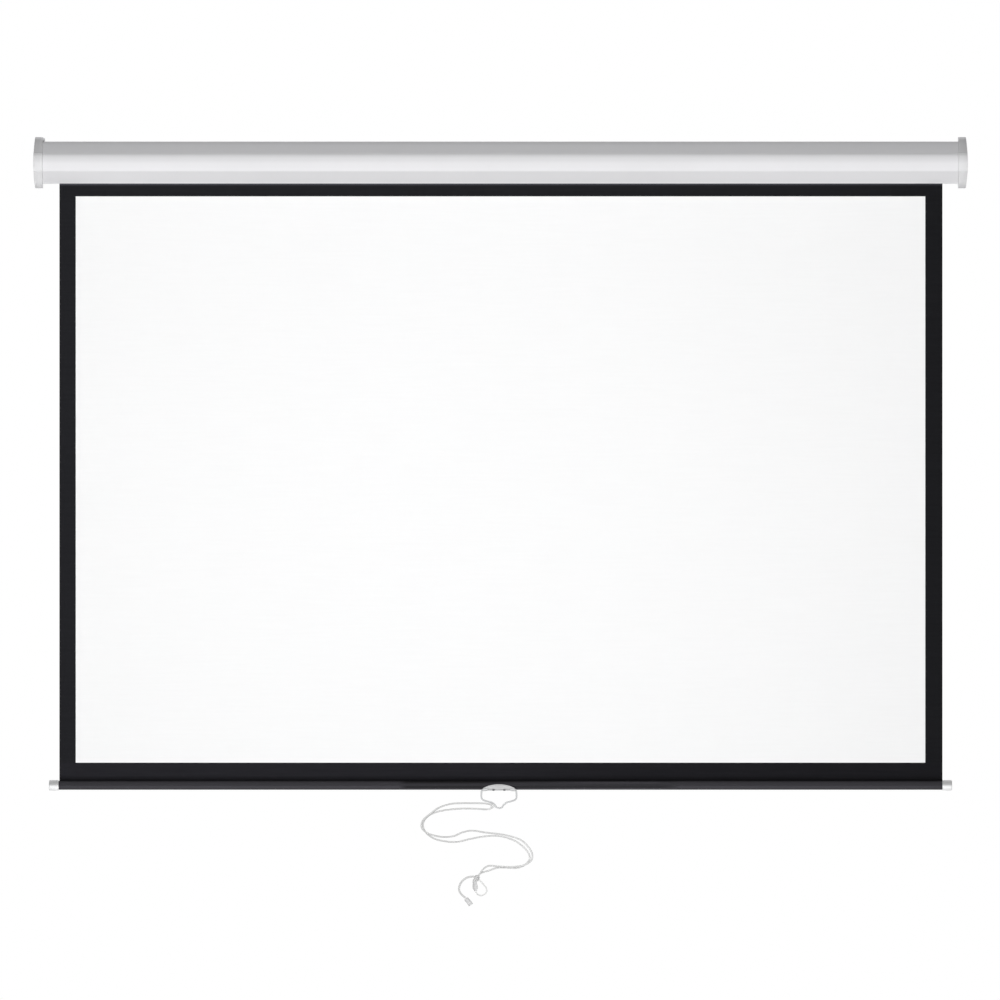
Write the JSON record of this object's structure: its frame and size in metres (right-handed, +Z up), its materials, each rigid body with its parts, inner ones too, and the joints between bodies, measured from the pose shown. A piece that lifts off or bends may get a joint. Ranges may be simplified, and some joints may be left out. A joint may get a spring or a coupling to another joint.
{
  "type": "pull-down projector screen",
  "caption": "Wall-hung projector screen that pulls down from an octagonal case, with a black-edged white field, a weight bar, a wire bail and a doubled pull cord.",
  "frame": {"origin": "on the flat back of the case, at the middle of its length and level with its centre, where it lies on the wall", "axes": "+X along the case to the viewer's right, +Y into the wall, so the screen faces -Y, +Z up"},
  "size_m": [1.649, 0.076, 1.3583],
  "materials": {
    "white_paint": "satin powder coat",
    "cap_plastic": "satin moulded",
    "steel": "zinc plated",
    "spring_steel": "oiled",
    "brass": "stamped",
    "nylon": "natural",
    "acetal": "moulded",
    "white_cloth": "matt coated",
    "black_cloth": "matt coated",
    "black_paint": "satin",
    "white_plastic": "moulded",
    "pale_plastic": "moulded",
    "black_screw": "black oxide",
    "cord_yarn": "braided"
  },
  "bodies": {
    "case": {"case_shell": "white_paint", "left_end_cap": "cap_plastic", "right_end_cap": "cap_plastic", "cap_screw_left_upper": "steel", "cap_screw_left_lower": "steel", "cap_screw_right_upper": "steel", "cap_screw_right_lower": "steel", "left_hanger_plate": "steel", "right_hanger_plate": "steel", "hanger_screw_left_upper": "steel", "hanger_screw_left_lower": "steel", "hanger_screw_right_upper": "steel", "hanger_screw_right_lower": "steel", "bearing_bush": "nylon", "shaft_holder": "steel", "holder_screw_front": "steel", "holder_screw_rear": "steel", "spring_shaft": "steel", "ratchet_wheel": "steel", "spring_anchor": "nylon", "torsion_spring": "spring_steel"},
    "roller": {"roller_tube": "steel", "fabric_roll": "black_cloth", "left_roller_plug": "acetal", "gudgeon_pin": "steel", "right_roller_plug": "acetal", "pawl_pin_front": "steel", "pawl_pin_rear": "steel"},
    "pawl_front": {"lock_pawl_front": "brass"},
    "pawl_rear": {"lock_pawl_rear": "brass"},
    "bar": {"fabric_field": "white_cloth", "border_top": "black_cloth", "border_left": "black_cloth", "border_right": "black_cloth", "border_bottom": "black_cloth", "weight_bar": "black_paint", "hem_spline": "white_plastic", "bar_plug_left": "white_plastic", "bar_plug_right": "white_plastic", "handle_saddle": "pale_plastic", "handle_screw_left": "black_screw", "handle_screw_right": "black_screw", "cord_front": "cord_yarn", "cord_back": "cord_yarn", "end_knot": "cord_yarn", "cord_toggle": "pale_plastic", "cord_loop": "cord_yarn", "cord_tail": "cord_yarn", "cord_tassel": "pale_plastic"},
    "bail": {"pull_bail": "pale_plastic", "hitch_knot": "cord_yarn"}
  },
  "joints": [
    {"name": "bar_slide", "type": "slide", "parent": "case", "child": "bar", "axis": [0, 0, 1], "range_m": [0, 1.052], "deforming": ["fabric_field", "border_top", "border_left", "border_right"]},
    {"name": "roller_spin", "type": "hinge", "parent": "case", "child": "roller", "pos_m": [0, -0.046, 0], "axis": [1, 0, 0], "range_deg": [0, 4280]},
    {"name": "pawl_front_drop", "type": "hinge", "parent": "roller", "child": "pawl_front", "pos_m": [0.8009, -0.0549, 0], "axis": [1, 0, 0], "range_deg": [0, 20]},
    {"name": "pawl_rear_drop", "type": "hinge", "parent": "roller", "child": "pawl_rear", "pos_m": [0.8009, -0.0371, 0], "axis": [1, 0, 0], "range_deg": [0, 20]},
    {"name": "bail_swing", "type": "hinge", "parent": "bar", "child": "bail", "pos_m": [-0.0028, -0.03968, -1.10708], "axis": [1, 0, 0], "range_deg": [-110, 70]}
  ],
  "couplings": [
    {"joint": "roller_spin", "follows": "bar_slide", "rad_per_m": 70.922}
  ]
}
